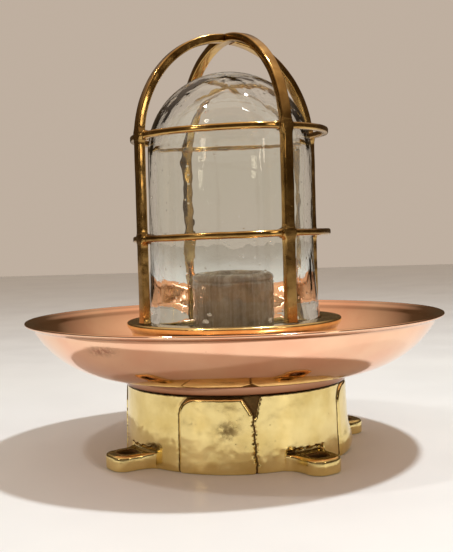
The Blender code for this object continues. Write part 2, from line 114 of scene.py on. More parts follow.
def wave_noise(points, scale, seed):
    """Smooth noise in -1..1 at points given in millimetres; scale is the feature size."""
    shift = Vector((seed * 17.3, seed * 5.1, seed * 9.7))
    flat = points.reshape(-1, 3)
    values = [noise.noise(Vector(p) / scale + shift) for p in flat]
    return np.array(values).reshape(points.shape[:-1])


def mesh_object(name, points, faces):
    mesh = bpy.data.meshes.new(name)
    mesh.from_pydata((np.asarray(points) * MM).tolist(), [], faces)
    mesh.validate()
    mesh.shade_smooth()
    obj = bpy.data.objects.new(name, mesh)
    bpy.context.scene.collection.objects.link(obj)
    return obj


def grid_faces(rows, cols, wrap_rows, wrap_cols, offset=0):
    faces = []
    for i in range(rows if wrap_rows else rows - 1):
        for j in range(cols if wrap_cols else cols - 1):
            i2 = (i + 1) % rows
            j2 = (j + 1) % cols
            faces.append((
                offset + i * cols + j, offset + i * cols + j2,
                offset + i2 * cols + j2, offset + i2 * cols + j,
            ))
    return faces


def set_attribute(obj, name, values):
    layer = obj.data.attributes.new(name, "FLOAT", "POINT")
    layer.data.foreach_set("value", np.asarray(values, dtype=np.float32).ravel())


def fillet(points, radii, steps=4):
    """Round the corners of an open or closed (r, z) line; one radius per point."""
    out = []
    count = len(points)
    for i, (point, radius) in enumerate(zip(points, radii)):
        p = np.array(point, dtype=float)
        a = np.array(points[i - 1], dtype=float) - p
        b = np.array(points[(i + 1) % count], dtype=float) - p
        la = np.hypot(*a)
        lb = np.hypot(*b)
        if radius <= 0 or la < 1e-9 or lb < 1e-9:
            out.append(tuple(p))
            continue
        reach = min(radius, 0.48 * la, 0.48 * lb)
        start = p + a / la * reach
        end = p + b / lb * reach
        for k in range(steps + 1):
            t = k / steps
            q = start * (1 - t) ** 2 + 2 * p * t * (1 - t) + end * t * t
            out.append(tuple(q))
    return out


def revolve(name, profile, segments, wobble=None):
    """Closed (r, z) outline turned about the axis, run down its outer side."""
    prof = np.array(profile)
    angle = np.linspace(0, 2 * np.pi, segments, endpoint=False)
    r = prof[:, 0][:, None] * np.ones_like(angle)
    z = prof[:, 1][:, None] * np.ones_like(angle)
    if wobble is not None:
        dr, dz = wobble(r, z, angle[None, :])
        r = r + dr
        z = z + dz
    points = np.stack([r * np.cos(angle), r * np.sin(angle), z], axis=-1)
    faces = grid_faces(len(prof), segments, True, True)
    obj = mesh_object(name, points.reshape(-1, 3), faces)
    outward(obj)
    return obj, points


def outward(obj):
    """Make every face of a closed mesh look outward."""
    bm = bmesh.new()
    bm.from_mesh(obj.data)
    bmesh.ops.recalc_face_normals(bm, faces=bm.faces)
    bm.to_mesh(obj.data)
    bm.free()


def polar(centre, radius, start, end, steps):
    """Points on an arc in the (r, z) plane, degrees from +r."""
    a = np.radians(np.linspace(start, end, steps))
    return [(centre[0] + radius * math.cos(t), centre[1] + radius * math.sin(t)) for t in a]


def finish_piece(obj, body, nodes, mat):
    obj.data.materials.clear()
    obj.data.materials.append(mat)
    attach(obj, body)
    if nodes:
        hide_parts(*nodes)
    return obj


# ---------------------------------------------------------------- material helpers

class Shader:
    """Small wrapper for building a node material."""

    def __init__(self, name):
        self.mat = bpy.data.materials.new(name)
        self.mat.use_nodes = True
        self.tree = self.mat.node_tree
        self.bsdf = self.tree.nodes["Principled BSDF"]
        coords = self.node("ShaderNodeTexCoord")
        self.place = coords.outputs["Object"]

    def node(self, kind, **settings):
        made = self.tree.nodes.new(kind)
        for key, value in settings.items():
            setattr(made, key, value)
        return made

    def put(self, socket, value):
        if isinstance(value, bpy.types.NodeSocket):
            self.tree.links.new(value, socket)
        else:
            socket.default_value = value

    def math(self, operation, a, b=0.0, clamp=False):
        made = self.node("ShaderNodeMath", operation=operation, use_clamp=clamp)
        self.put(made.inputs[0], a)
        self.put(made.inputs[1], b)
        return made.outputs[0]

    def noise(self, size, detail=4.0, rough=0.5, vector=None, distortion=0.0):
        """Noise value; size is the feature size in millimetres."""
        made = self.node("ShaderNodeTexNoise")
        self.put(made.inputs["Vector"], vector or self.place)
        made.inputs["Scale"].default_value = 1.0 / (size * MM)
        made.inputs["Detail"].default_value = detail
        made.inputs["Roughness"].default_value = rough
        made.inputs["Distortion"].default_value = distortion
        return made.outputs["Fac"]

    def cells(self, size, vector=None, feature="F1", randomness=1.0):
        made = self.node("ShaderNodeTexVoronoi", feature=feature)
        self.put(made.inputs["Vector"], vector or self.place)
        made.inputs["Scale"].default_value = 1.0 / (size * MM)
        made.inputs["Randomness"].default_value = randomness
        return made.outputs["Distance"]

    def stretched(self, x, y, z, turn=(0.0, 0.0, 0.0)):
        """Object coordinates scaled per axis."""
        made = self.node("ShaderNodeMapping")
        self.put(made.inputs["Vector"], self.place)
        made.inputs["Scale"].default_value = (x, y, z)
        made.inputs["Rotation"].default_value = turn
        return made.outputs["Vector"]

    def radius_height(self, around=0.0):
        """(distance from axis, height, a little of the angle): lines that run round the axis."""
        split = self.node("ShaderNodeSeparateXYZ")
        self.put(split.inputs[0], self.place)
        x2 = self.math("MULTIPLY", split.outputs[0], split.outputs[0])
        y2 = self.math("MULTIPLY", split.outputs[1], split.outputs[1])
        r = self.math("SQRT", self.math("ADD", x2, y2))
        join = self.node("ShaderNodeCombineXYZ")
        self.put(join.inputs[0], r)
        self.put(join.inputs[1], split.outputs[2])
        self.put(join.inputs[2], self.math("MULTIPLY", split.outputs[0], around))
        return join.outputs[0]

    def remap(self, value, a, b, c=0.0, d=1.0):
        made = self.node("ShaderNodeMapRange", interpolation_type="SMOOTHSTEP")
        self.put(made.inputs["Value"], value)
        made.inputs["From Min"].default_value = a
        made.inputs["From Max"].default_value = b
        made.inputs["To Min"].default_value = c
        made.inputs["To Max"].default_value = d
        return made.outputs["Result"]

    def blend(self, fac, a, b):
        made = self.node("ShaderNodeMix", data_type="RGBA")
        self.put(made.inputs["Factor"], fac)
        for socket, value in ((made.inputs[6], a), (made.inputs[7], b)):
            if isinstance(value, tuple):
                value = (*value, 1.0)
            self.put(socket, value)
        return made.outputs[2]

    def bump(self, height, depth, strength=1.0, normal=None):
        """Bump of a 0..1 height; depth in millimetres."""
        made = self.node("ShaderNodeBump")
        made.inputs["Strength"].default_value = strength
        made.inputs["Distance"].default_value = depth * MM
        self.put(made.inputs["Height"], height)
        if normal is not None:
            self.put(made.inputs["Normal"], normal)
        return made.outputs["Normal"]

    def attribute(self, name):
        made = self.node("ShaderNodeAttribute")
        made.attribute_name = name
        return made.outputs["Fac"]

    def finish(self, colour, rough, metallic=0.0, normal=None, **sockets):
        self.put(self.bsdf.inputs["Base Color"], (*colour, 1.0) if isinstance(colour, tuple) else colour)
        self.put(self.bsdf.inputs["Roughness"], rough)
        self.put(self.bsdf.inputs["Metallic"], metallic)
        if normal is not None:
            self.put(self.bsdf.inputs["Normal"], normal)
        for key, value in sockets.items():
            self.bsdf.inputs[key.replace("_", " ")].default_value = value
        return self.mat


def cast_brass(name, light, dark, stain, masks=False, wave=0.25, gloss=0.16):
    """Polished cast brass: soft waves, pits, fine scratches; with masks, painted shade and darker grooves
    from the mask attribute, and real stains.
    """
    s = Shader(name)
    clouds = s.noise(14.0, 4, 0.55)
    colour = s.blend(s.remap(clouds, 0.35, 0.7), light, dark)
    spots = s.remap(s.cells(5.5), 0.0, 0.13, 1.0, 0.0)
    spots = s.math("MULTIPLY", spots, s.remap(s.noise(9.0, 2), 0.5, 0.62))
    pits_stain_and_shade = s.math("MULTIPLY", spots, 0.75)
    if masks:
        # Painted shade comes in through the mask attribute: darkening under overhangs, in recesses and
        # holes and beside joins; the same mask darkens grooves and corners.
        shade_and_oxide = s.attribute("shade_and_oxide")
        ragged = s.math("MULTIPLY", s.math("SUBTRACT", s.noise(1.6, 4, 0.7), 0.5), 0.55)
        rough_edge = s.math("ADD", shade_and_oxide, ragged)
        shade_and_oxide_mask = s.remap(rough_edge, 0.38, 0.7)
        mark = s.math("MULTIPLY", s.attribute("stain"), s.remap(s.noise(3.0, 5, 0.65), 0.3, 0.62))
        pits_stain_and_shade = s.math("MAXIMUM", s.math("MAXIMUM", pits_stain_and_shade, shade_and_oxide_mask), s.math("MULTIPLY", mark, 0.8))
    # One dark colour serves pits, real stains and painted shade.
    colour = s.blend(pits_stain_and_shade, colour, stain)
    lines = s.noise(0.5, 3, 0.6, s.stretched(1.0, 1.0, 0.06, (0.0, 0.0, 0.3)))
    hair = s.noise(0.35, 2, 0.6, s.stretched(0.1, 0.6, 1.0, (0.5, 0.2, 0.9)))
    clean = s.remap(s.noise(6.0, 5, 0.6), 0.3, 0.75, gloss, gloss + 0.14)
    rough = s.math("ADD", clean, s.math("MULTIPLY", pits_stain_and_shade, 0.42))
    normal = s.bump(s.noise(11.0, 2, 0.4), wave)
    normal = s.bump(s.remap(s.cells(2.6), 0.0, 0.12), 0.05, 0.5, normal)
    normal = s.bump(s.math("ADD", lines, hair), 0.006, 0.6, normal)
    return s.finish(colour, rough, 1.0, normal)


def spun_copper(name):
    """Polished spun copper: rings round the axis, a brown mark, light smears, and painted shade at the
    foot and under the rolled lip.
    """
    s = Shader(name)
    ring = s.radius_height(0.02)
    clouds = s.noise(32.0, 3, 0.5)
    colour = s.blend(s.remap(clouds, 0.35, 0.7), (0.96, 0.62, 0.42), (0.90, 0.50, 0.33))
    mark = s.math("MULTIPLY", s.attribute("stain"), s.remap(s.noise(2.4, 5, 0.7), 0.36, 0.58))
    # Painted shade: the mask below blends the fold under the rolled lip and the foot band to a dark
    # brown, standing in for reflected shadow.
    edge = s.attribute("shade_and_oxide")
    colour = s.blend(s.math("MULTIPLY", mark, 0.9), colour, (0.34, 0.13, 0.07))
    colour = s.blend(s.math("MULTIPLY", edge, 0.95), colour, (0.22, 0.085, 0.035))
    specks = s.math("MULTIPLY", s.remap(s.cells(7.0), 0.0, 0.05, 1.0, 0.0), 0.6)
    colour = s.blend(specks, colour, (0.30, 0.12, 0.07))
    smear = s.noise(5.0, 4, 0.6, s.stretched(1.0, 1.0, 2.5))
    rough = s.math("ADD", s.remap(smear, 0.3, 0.75, 0.05, 0.11), s.math("MULTIPLY", mark, 0.35))
    spin = s.noise(0.45, 3, 0.65, ring)
    normal = s.bump(s.noise(26.0, 2, 0.4), 0.16)
    normal = s.bump(spin, 0.006, 0.55, normal)
    return s.finish(colour, rough, 1.0, normal)


def turned_brass(name, light, dark):
    """Lathe-turned brass, bright, with fine rings."""
    s = Shader(name)
    ring = s.radius_height(0.05)
    clouds = s.noise(8.0, 4, 0.55)
    colour = s.blend(s.remap(clouds, 0.35, 0.7), light, dark)
    dots = s.remap(s.cells(4.5), 0.0, 0.1, 1.0, 0.0)
    pits = s.math("MULTIPLY", dots, s.remap(s.noise(7.0, 2), 0.48, 0.6))
    colour = s.blend(s.math("MULTIPLY", pits, 0.8), colour, (0.22, 0.12, 0.04))
    # Darker band from the mask attribute: just under the collar's rolled top edge.
    colour = s.blend(s.math("MULTIPLY", s.attribute("shade_and_oxide"), 0.8), colour, (0.26, 0.14, 0.05))
    rough = s.remap(s.noise(3.0, 5, 0.6), 0.3, 0.75, 0.1, 0.24)
    normal = s.bump(s.noise(9.0, 2, 0.4), 0.12)
    normal = s.bump(s.noise(0.3, 2, 0.6, ring), 0.008, 0.5, normal)
    return s.finish(colour, rough, 1.0, normal)


def seedy_glass(name):
    """Clear pressed glass with slow waves and small bubbles."""
    s = Shader(name)
    colour = s.blend(s.remap(s.noise(40.0, 2), 0.3, 0.7), (0.965, 0.98, 0.96), (0.94, 0.965, 0.935))
    drawn = s.noise(9.0, 2, 0.4, s.stretched(1.0, 1.0, 0.5))
    seeds = s.remap(s.cells(5.0), 0.02, 0.14)
    normal = s.bump(drawn, 0.22)
    normal = s.bump(seeds, 0.10, 0.6, normal)
    return s.finish(colour, 0.0, 0.0, normal, Transmission_Weight=1.0, IOR=1.5)


def glazed_porcelain(name):
    s = Shader(name)
    # Painted shade: the holder's tones are darkened for its place inside the globe.
    colour = s.blend(s.remap(s.noise(7.0, 4), 0.35, 0.7), (0.40, 0.29, 0.175), (0.25, 0.175, 0.10))
    # Painted reflection: light and dark vertical bands stand in for the guard bars reflected in the
    # glaze.
    painted_bar_reflection = s.remap(s.noise(2.2, 3, 0.6, s.stretched(1.0, 1.0, 0.07)), 0.4, 0.62)
    colour = s.blend(s.math("MULTIPLY", painted_bar_reflection, 0.4), colour, (0.62, 0.52, 0.40))
    specks = s.remap(s.cells(1.6), 0.0, 0.1, 1.0, 0.0)
    colour = s.blend(s.math("MULTIPLY", specks, 0.5), colour, (0.26, 0.19, 0.13))
    rough = s.remap(s.noise(2.0, 3), 0.3, 0.7, 0.16, 0.34)
    normal = s.bump(s.noise(3.0, 3), 0.08)
    return s.finish(colour, rough, 0.0, normal, Coat_Weight=0.35, Coat_Roughness=0.1)


def plain_surface(name, colour, other, rough, size=3.0, metallic=0.0, depth=0.02):
    """Moulded or plated material: two close tones, uneven gloss and a fine grain."""
    s = Shader(name)
    tone = s.blend(s.remap(s.noise(size, 4), 0.35, 0.7), colour, other)
    gloss = s.remap(s.noise(size * 0.5, 4), 0.3, 0.7, rough * 0.8, rough * 1.25)
    normal = s.bump(s.noise(size * 0.2, 3, 0.6), depth)
    return s.finish(tone, gloss, metallic, normal)


# ---------------------------------------------------------------- pieces

def make_shade(mat):
    """Spun dish: foot, bowl, turned-out lip with a thin rolled edge."""
    foot_r = SHADE_FOOT_R
    bowl_z = 39.2
    skirt = SHADE_FLOOR - 0.8
    arc_r = 47.2
    arc_at = 56.6
    sheet = 1.0
    centre = (arc_at, bowl_z + arc_r)
    end = math.degrees(math.asin((96.9 - arc_at) / arc_r))
    under = [(SHADE_BORE_R, SHADE_FLOOR), (foot_r - 1.1, SHADE_FLOOR), (foot_r - 0.6, skirt + 0.25)]
    under += [(foot_r - 0.4, skirt), (foot_r, skirt + 0.1), (foot_r + 0.1, skirt + 0.6)]
    under += [(foot_r + 0.2, bowl_z - 0.9), (foot_r + 0.5, bowl_z - 0.3), (foot_r + 1.1, bowl_z)]
    under += polar(centre, arc_r, -89.5, -90 + end, 40)
    under += [(97.25, 62.6), (97.9, 63.6), (98.9, 64.35), (99.9, 64.75), (100.5, 64.95)]
    bead = polar((RIM_R - 0.72, RIM_Z - 0.72), 0.72, -110, 150, 9)
    over = [(99.8, 65.95), (98.6, 65.5), (97.3, 64.7), (96.5, 63.6), (96.15, 62.5)]
    over += polar(centre, arc_r - sheet, -90 + end - 1.2, -89.5, 36)
    over += [(foot_r + 0.1, bowl_z + sheet - 0.1), (foot_r - 0.7, bowl_z + 0.2)]
    over += [(foot_r - 1.0, bowl_z - 0.6), (foot_r - 1.0, SHADE_FLOOR + 1.4)]
    over += [(foot_r - 1.5, SHADE_FLOOR + 1.0), (SHADE_BORE_R, SHADE_FLOOR + 1.0)]
    profile = (under + bead + over)[::-1]

    def wobble(r, z, a):
        share = smooth_step(r, 60, 95)
        dz = share * (0.12 * np.cos(2 * a + 0.6) + 0.07 * np.cos(3 * a + 2.0)) - 0.2 * share
        at_angle = np.exp(-((a - math.radians(235)) / 0.1) ** 2)
        dent = at_angle * smooth_step(r, 88, 93) * smooth_step(-r, -98, -94)
        return -0.35 * dent - 0.02 * share, dz

    obj, points = revolve("shade_spun_dish", profile, 288, wobble)
    r = np.hypot(points[..., 0], points[..., 1])
    z = points[..., 2]
    a = np.degrees(np.arctan2(points[..., 1], points[..., 0]))
    stain = np.exp(-(((a + 125) / 4.5) ** 2 + ((z - 58.5 - 0.12 * (a + 125)) / 1.9) ** 2) ** 1.2)
    # Painted shade: a dark line in the fold under the rolled lip.
    rim_fold_shade = np.exp(-((z - 64.2) / 0.45) ** 2) * (r > 97.3) * (r < 99.4)
    # Painted shade: the foot band darkened to stand in for the shadowed floor reflected in it.
    foot = np.exp(-((z - SHADE_FLOOR) / 3.2) ** 2) * (r > 52) * (r < 60)
    set_attribute(obj, "stain", stain)
    set_attribute(obj, "shade_and_oxide", np.clip(0.7 * rim_fold_shade + 1.4 * foot, 0, 1))
    finish_piece(obj, "base", ["copper_shade"], mat)


def make_collar(mat):
    """Threaded ring of the guard with a rolled top edge and a flat lip."""
    bore = NECK_R + 0.35
    profile = [
        (50.6, COLLAR_FOOT), (50.6, 58.6), (51.2, 60.2), (52.4, 61.4), (COLLAR_TOP_R, 62.4),
        (COLLAR_TOP_R, 63.7), (52.4, COLLAR_TOP), (43.2, COLLAR_TOP), (43.2, 61.8), (bore, 61.8),
    ]
    radii = [0.5, 2.0, 1.5, 1.2, 0.6, 0.9, 0.8, 0.6, 0.2, 0.2]
    z = 54.0
    while z > 44.1:
        profile += [(bore, z), (bore + 0.8, z - 0.9), (bore + 0.8, z - 1.1)]
        radii += [0.1, 0.2, 0.2]
        z -= 2.0
    profile += [(bore, z), (bore, COLLAR_FOOT)]
    radii += [0.1, 0.5]

    def wobble(r, z, a):
        return -0.05 + 0.04 * np.cos(5 * a), 0.0 * r

    obj, points = revolve("guard_collar", fillet(profile, radii), 224, wobble)
    z = points[..., 2]
    r = np.hypot(points[..., 0], points[..., 1])
    # Darker band just under the rolled top edge.
    set_attribute(obj, "shade_and_oxide", np.exp(-((z - 60.2) / 0.5) ** 2) * (r > 50) * 0.5)
    finish_piece(obj, "cage", ["cage_collar"], mat)


def bar_section(depth, half, corner, sides=6):
    """Rounded rectangle, (depth, across) pairs, counter-clockwise."""
    corner = min(corner, 0.48 * depth, 0.96 * half)
    out = []
    for cd, cs, start in (
        (depth - corner, half - corner, 0), (corner, half - corner, 90),
        (corner, corner - half, 180), (depth - corner, corner - half, 270),
    ):
        for k in range(sides):
            t = math.radians(start + 90 * k / (sides - 1))
            out.append((cd + corner * math.cos(t), cs + corner * math.sin(t)))
    return out


def hoop_path(top_r):
    """(outer, inner) points of a bar from the collar to the crown."""
    pairs = []
    foot = np.linspace(BAR_FOOT, BAR_FOOT + 8, 14)
    straight = np.linspace(BAR_FOOT + 8.8, BAR_SPRING_Z - 1, 92)
    for z in np.concatenate([foot, straight]):
        pairs.append(((BAR_OUT, z), (BAR_IN, z)))
    last_out = math.acos(top_r / BAR_OUT)
    last_in = math.acos(top_r / BAR_IN)
    rise_out = CROWN_OUT - 0.12 - BAR_SPRING_Z
    rise_in = CROWN_IN - BAR_SPRING_Z
    for t in np.linspace(0, 1, 60):
        out = (BAR_OUT * math.cos(last_out * t), BAR_SPRING_Z + rise_out * math.sin(last_out * t))
        inn = (BAR_IN * math.cos(last_in * t), BAR_SPRING_Z + rise_in * math.sin(last_in * t))
        pairs.append((out, inn))
    return pairs


def ring_height(node, deg):
    """Height of a ring's middle at an angle; the rings sit a little askew."""
    a = math.radians(deg)
    along, across = RING_TILT[node]
    return RING_Z[node] + along * math.cos(a) + across * math.sin(a)


def bar_swell(z, deg, on_straight):
    """Extra half width near the rings and the collar, where metal has run into the corners."""
    grow = 0.0
    if on_straight:
        for node in RING_Z:
            grow += 0.8 * math.exp(-max(abs(z - ring_height(node, deg)) - 1.5, 0.0) / 0.8)
        grow += 1.0 * math.exp(-max(z - BAR_FOOT, 0.0) / 1.0)
    return grow


def make_bar(name, node, angle, pairs, seed, mat):
    sections = []
    count = len(pairs)
    for k, (out, inn) in enumerate(pairs):
        o = np.array([out[0], 0.0, out[1]])
        i = np.array([inn[0], 0.0, inn[1]])
        depth = np.linalg.norm(o - i)
        across = (o - i) / depth
        side_deg = angle if out[0] >= 0 else angle + 180
        straight = out[1] < BAR_SPRING_Z + 12
        half = 2.62 + bar_swell(out[1], side_deg, straight)
        where = Vector((out[0] * 0.06 + seed * 9, seed * 3.0, out[1] * 0.06))
        drift = 0.16 * noise.noise(where)
        half += 0.14 * noise.noise(where * 2.3 + Vector((5, 1, 2)))
        inset = 0.05 * (1 + noise.noise(where * 1.7 + Vector((1, 7, 3))))
        end_gap = min(k, count - 1 - k)
        corner = 0.75 if end_gap > 0 else 0.5
        ring = []
        for d, s in bar_section(depth - inset, half, corner):
            side = np.array([0.0, s + drift, 0.0])
            ring.append(i + across * d + side)
        sections.append(ring)
    points = np.array(sections)
    rows, cols = points.shape[:2]
    turn = math.radians(angle)
    c = math.cos(turn)
    s = math.sin(turn)
    rot = np.array([[c, -s, 0], [s, c, 0], [0, 0, 1]])
    flat = points.reshape(-1, 3) @ rot.T
    faces = grid_faces(rows, cols, False, True)
    faces.append(tuple(range(cols)))
    faces.append(tuple((rows - 1) * cols + k for k in reversed(range(cols))))
    obj = mesh_object(name, flat, faces)
    outward(obj)
    # Darker just beside each ring crossing and at the bar's foot on the collar.
    near_ring = np.zeros(rows)
    for k, (out, _) in enumerate(pairs):
        if out[1] < BAR_SPRING_Z + 12:
            for ring in RING_Z:
                ring_z = ring_height(ring, angle if out[0] >= 0 else angle + 180)
                near_ring[k] += 0.6 * math.exp(-((abs(out[1] - ring_z) - 2.3) / 0.7) ** 2)
            near_ring[k] += 0.8 * math.exp(-((out[1] - BAR_FOOT) / 0.8) ** 2)
    set_attribute(obj, "shade_and_oxide", np.repeat(near_ring, cols))
    set_attribute(obj, "stain", np.zeros(rows * cols))
    sharp_ends(obj)
    finish_piece(obj, "cage", [node], mat)


def sharp_ends(obj):
    """Keep the end faces of a bar crisp."""
    obj.data.set_sharp_from_angle(angle=math.radians(50))


def make_ring(name, node, seed, mat):
    """Flat ring of the guard, swollen where it meets each bar."""
    segments = 480
    bars = [HOOP_ANGLE + 90 * k for k in range(4)]
    sections = []
    shade_and_oxide = []
    for k in range(segments):
        deg = 360.0 * k / segments
        gap = min(abs((deg - b + 180) % 360 - 180) for b in bars)
        s = math.radians(gap) * 48.0
        swell = math.exp(-max(s - 2.6, 0.0) / 0.9)
        where = Vector((math.cos(math.radians(deg)) * 2 + seed, math.sin(math.radians(deg)) * 2, seed))
        lift = 0.2 * noise.noise(where)
        half = 1.55 + 0.85 * swell + 0.08 * noise.noise(where * 4)
        inner = 45.15
        outer = 48.6 + 1.2 * swell + 0.1 * noise.noise(where * 3)
        z0 = ring_height(node, deg)
        a = math.radians(deg)
        ring = []
        for d, h in bar_section(outer - inner, half, 0.95, 5):
            r = inner + d
            ring.append((r * math.cos(a), r * math.sin(a), z0 + lift * (1 - swell) + h))
        sections.append(ring)
        # Darker just beside each bar crossing.
        shade_and_oxide.append(0.7 * math.exp(-((s - 3.3) / 0.7) ** 2))
    points = np.array(sections)
    rows, cols = points.shape[:2]
    obj = mesh_object(name, points.reshape(-1, 3), grid_faces(rows, cols, True, True))
    outward(obj)
    set_attribute(obj, "shade_and_oxide", np.repeat(shade_and_oxide, cols))
    set_attribute(obj, "stain", np.zeros(rows * cols))
    finish_piece(obj, "cage", [node], mat)


def make_globe(mat):
    """Thick pressed globe with a heavy foot and a thickened dome."""
    outer = [(46.4, GLASS_FOOT), (46.4, GLASS_FOOT + 2.0), (43.4, GLASS_FOOT + 2.1)]
    outer += [(42.4, 63.0), (42.2, 69.0)]
    outer += [(41.6, 75.0), (41.0, 82.0), (40.5, 92.0), (40.4, 110.0), (40.4, 130.0), (40.4, 144.0)]
    rise = GLASS_TOP - 0.1 - 146.0
    for deg in np.linspace(2, 89.2, 30):
        t = math.radians(deg)
        outer.append((40.4 * math.cos(t), 146.0 + rise * math.sin(t)))
    inner = []
    top = GLASS_TOP - 7.6
    for deg in np.linspace(89.2, 2, 28):
        t = math.radians(deg)
        inner.append((36.6 * math.cos(t), 143.0 + (top - 143.0) * math.sin(t)))
    inner += [(36.6, 130.0), (36.6, 110.0), (36.6, 94.0), (36.3, 86.0), (36.0, 80.0)]
    inner += [(35.8, 74.0), (36.0, 69.0), (36.8, 65.0), (38.2, 61.5), (38.6, GLASS_FOOT)]
    radii = [0.5, 0.5, 0.5] + [0.0] * (len(outer) - 3) + [0.0] * (len(inner) - 1) + [0.5]

    def wobble(r, z, a):
        body = smooth_step(z, 66, 80) * smooth_step(r, 8, 25)
        dr = body * (0.14 * np.cos(3 * a + z * 0.03) + 0.08 * np.cos(7 * a - z * 0.09)) - 0.12 * body
        return dr, 0.0 * z

    profile = fillet(outer + inner, radii, 3)
    segments = 160
    prof = np.array(profile)
    split = len(prof)
    obj, points = revolve("globe_pressed", profile, segments, wobble)
    close_poles(obj, points, split, segments)
    finish_piece(obj, "globe", ["glass_globe"], mat)


def close_poles(obj, points, rows, segments):
    """The outline touches the axis twice: drop the tube between and close both domes."""
    r = np.hypot(points[:, 0, 0], points[:, 0, 1])
    z = points[:, 0, 2]
    near = [i for i in range(rows) if r[i] < 1.0 and z[i] > 100]
    top, under = near[0], near[-1]
    flat = points.reshape(-1, 3)
    faces = []
    for face in grid_faces(rows, segments, True, True):
        in_tube = face[0] // segments == top and face[2] // segments == under
        if not in_tube:
            faces.append(face)
    flat = np.vstack([flat, [0, 0, z[top] + 0.01], [0, 0, z[under] + 0.01]])
    a = len(flat) - 2
    for j in range(segments):
        k = (j + 1) % segments
        faces.append((top * segments + j, top * segments + k, a))
        faces.append((under * segments + k, under * segments + j, a + 1))
    mesh = bpy.data.meshes.new(obj.data.name)
    mesh.from_pydata((flat * MM).tolist(), [], faces)
    mesh.validate()
    mesh.shade_smooth()
    obj.data = mesh
    outward(obj)


def make_holder(mat):
    """Glazed lamp holder with a thick rolled rim."""
    profile = [
        (1.9, HOLDER_FOOT), (HOLDER_R - 1.2, HOLDER_FOOT), (HOLDER_R, HOLDER_FOOT + 1.2),
        (HOLDER_R, 62.0), (HOLDER_R, 80.6), (HOLDER_R - 0.35, 81.0), (HOLDER_R - 0.35, 81.8),
        (HOLDER_R, 82.2), (HOLDER_R, HOLDER_TOP - 1.4),
        (HOLDER_R - 1.6, HOLDER_TOP), (SOCKET_R + 1.5, HOLDER_TOP), (SOCKET_R, HOLDER_TOP - 1.5),
        (SOCKET_R, SOCKET_FLOOR), (4.4, SOCKET_FLOOR), (4.4, 44.0), (1.9, 44.0),
    ]
    radii = [0.2, 0.8, 0.8, 0, 0.4, 0.3, 0.3, 0.4, 1.2, 1.2, 1.0, 1.0, 0.8, 0.4, 0.3, 0.2]
    obj, _ = revolve("holder_porcelain", fillet(profile, radii), 128)
    for k, middle in enumerate((-18.4, 18.4)):
        notch = box_points(-5.5, 5.5, middle - 5.6, middle + 5.6, HOLDER_FOOT - 1, 47.0)
        cut_box(obj, notch, k)
    obj.data.set_sharp_from_angle(angle=math.radians(40))
    finish_piece(obj, "base", ["lampholder_body"], mat)


def box_points(x0, x1, y0, y1, z0, z1):
    return [(x, y, z) for z in (z0, z1) for x, y in ((x0, y0), (x1, y0), (x1, y1), (x0, y1))]


def cut_box(obj, corners, k):
    faces = [(3, 2, 1, 0), (4, 5, 6, 7), (0, 1, 5, 4), (1, 2, 6, 5), (2, 3, 7, 6), (3, 0, 4, 7)]
    cutter = mesh_object(f"cutter_{k}", corners, faces)
    cut_with(obj, cutter)


def cut_with(obj, cutter, operation="DIFFERENCE"):
    mod = obj.modifiers.new("cut", "BOOLEAN")
    mod.operation = operation
    mod.solver = "EXACT"
    mod.object = cutter
    graph = bpy.context.evaluated_depsgraph_get()
    mesh = bpy.data.meshes.new_from_object(obj.evaluated_get(graph))
    obj.modifiers.clear()
    obj.data = mesh
    bpy.data.objects.remove(cutter, do_unlink=True)
    obj.data.shade_smooth()


def make_shell(mat):
    """Rolled-thread sleeve with a real helical thread."""
    segments = 96
    rows = []
    heights = np.linspace(53.2, 82.6, 100)
    for wall in (0.0, 0.35):
        line = []
        for z in heights:
            a = np.linspace(0, 2 * np.pi, segments, endpoint=False)
            fade = smooth_step(z, 54, 57) * smooth_step(-z, -82.5, -80.5)
            r = 13.45 + 0.38 * fade * np.cos(2 * np.pi * z / 3.63 - a) - wall
            line.append(np.stack([r * np.cos(a), r * np.sin(a), np.full_like(a, z)], axis=-1))
        rows.append(line)
    foot_out = [(13.7, 52.6), (13.9, SOCKET_FLOOR + 0.4), (9.0, SOCKET_FLOOR + 0.35)]
    foot_in = [(9.0, SOCKET_FLOOR + 0.8), (13.4, SOCKET_FLOOR + 0.8), (13.2, 52.6)]

    def circle(r, z):
        a = np.linspace(0, 2 * np.pi, segments, endpoint=False)
        return np.stack([r * np.cos(a), r * np.sin(a), np.full_like(a, z)], axis=-1)

    outside = [circle(*p) for p in foot_out[::-1]]
    inside = [circle(*p) for p in foot_in[::-1]]
    loop = outside + rows[0] + rows[1][::-1] + inside
    points = np.array(loop)
    faces = grid_faces(len(loop), segments, True, True)
    obj = mesh_object("holder_screw_sleeve", points.reshape(-1, 3), faces)
    outward(obj)
    finish_piece(obj, "base", ["lampholder_shell"], mat)


# The cast base is a sheet of radius over (angle, height), closed by the deck, neck and cavity.

def panel_distance(s, z):
    """Signed distance in millimetres from a panel's outline: round left shoulder, cut right one."""
    half = 17.9
    top = 33.9
    right = s - half + 0.05 * z
    rough = 0.22 * np.sin(0.9 * z + 0.4) + 0.12 * np.sin(2.3 * z + 1.0) + 0.06 * np.sin(6.1 * z)
    right = right + rough * smooth_step(s, 0, 6)
    left = -half - s
    flat = z - top
    shoulder = 8.5
    qx = np.maximum(-half + shoulder - s, 0)
    qz = np.maximum(z - (top - shoulder), 0)
    rounded = np.where((qx > 0) & (qz > 0), np.hypot(qx, qz) - shoulder, np.maximum(left, flat))
    chamfer = (s - (half - 6.0)) * 0.845 + (z - top) * 0.534
    return np.maximum.reduce([rounded, right, flat, chamfer])


